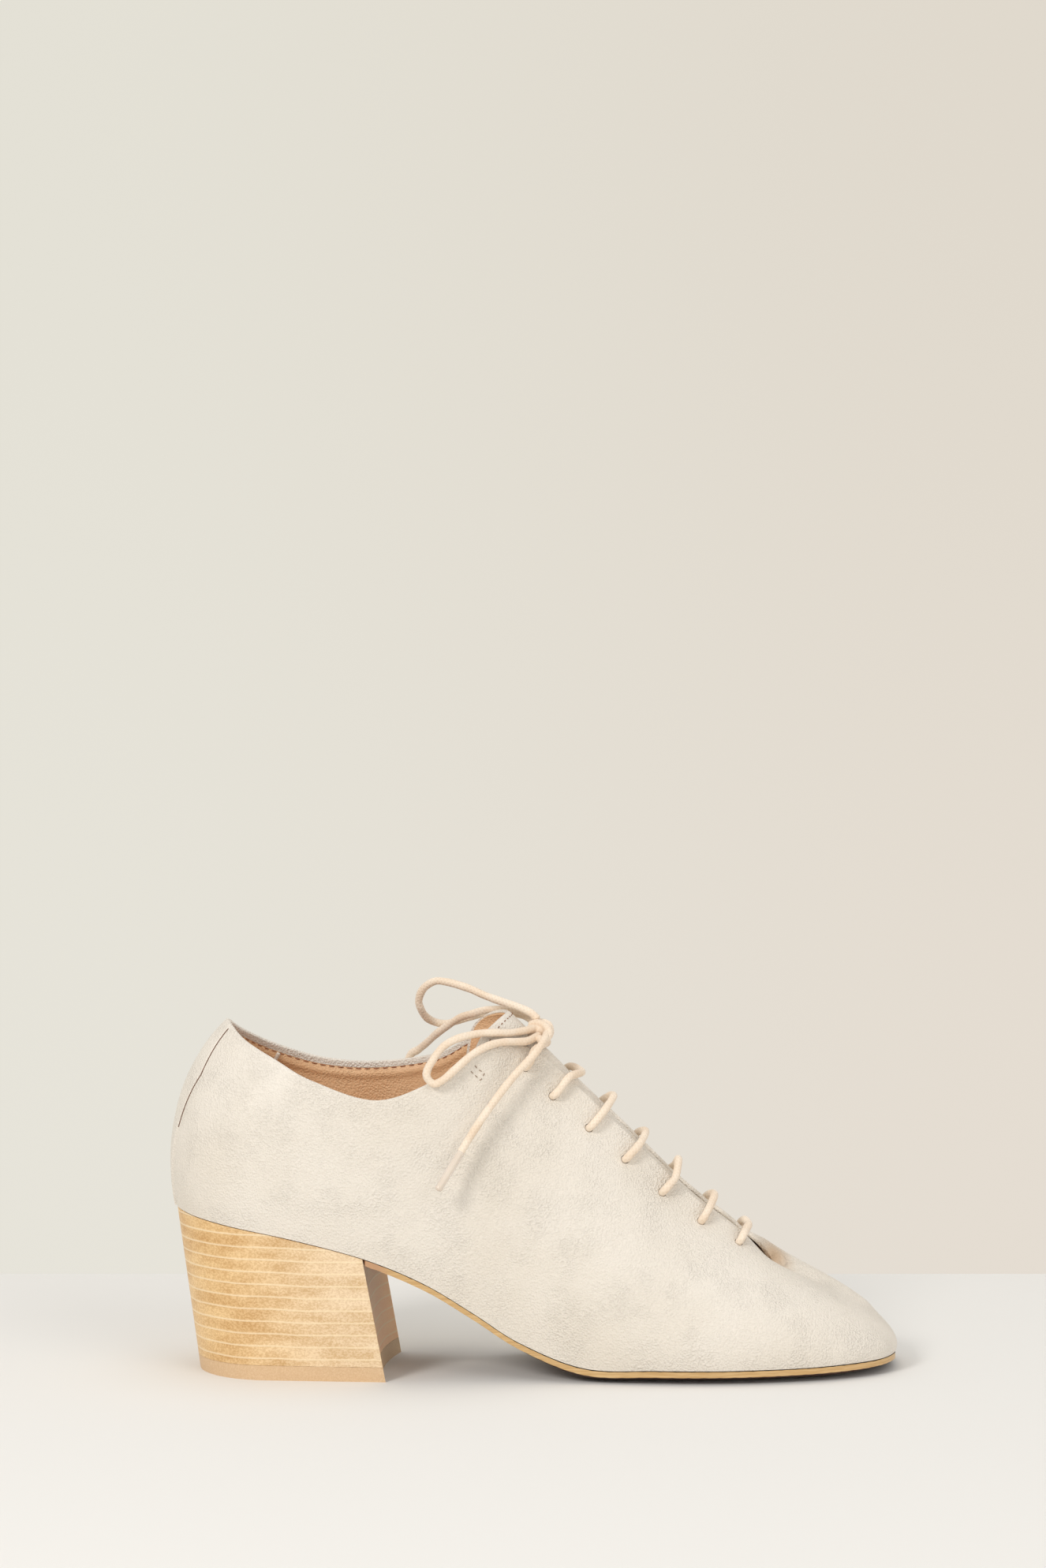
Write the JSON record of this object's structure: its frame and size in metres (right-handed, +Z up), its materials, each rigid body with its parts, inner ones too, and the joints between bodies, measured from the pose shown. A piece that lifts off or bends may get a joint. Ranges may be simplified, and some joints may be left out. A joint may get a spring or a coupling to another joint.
{
  "type": "derby shoe",
  "caption": "Smooth leather lace-up shoe with a narrow centre throat, round lace tied in a bow, stacked block heel and thin leather sole.",
  "frame": {"origin": "centre of the heel's resting face, on the floor", "axes": "+X from the heel to the toe, +Y to the inner side of the foot, +Z up"},
  "size_m": [0.2437, 0.0784, 0.1294],
  "materials": {
    "upper_leather": "smooth cream calf, soft satin",
    "lining_leather": "tan lining leather, matt",
    "sole_leather": "leather sole with a waxed golden edge",
    "stacked_heel": "stacked layers, polished",
    "heel_rubber": "tan rubber, matt",
    "lace": "round waxed cotton cord",
    "aglet": "clear film over the cord"
  },
  "bodies": {
    "root": {"upper": "upper_leather", "outsole": "sole_leather", "heel_block": "stacked_heel", "top_piece": "heel_rubber", "insole": "lining_leather", "tongue": "upper_leather", "lace_bar_1": "lace", "lace_bar_2": "lace", "lace_bar_3": "lace", "lace_bar_4": "lace", "lace_bar_5": "lace", "lace_bar_6": "lace", "lace_bar_7": "lace", "lace_knot": "lace", "lace_loop_near": "lace", "lace_loop_far": "lace", "lace_end_near": "lace", "lace_end_far": "lace", "aglet_near": "aglet", "aglet_far": "aglet"}
  },
  "joints": []
}
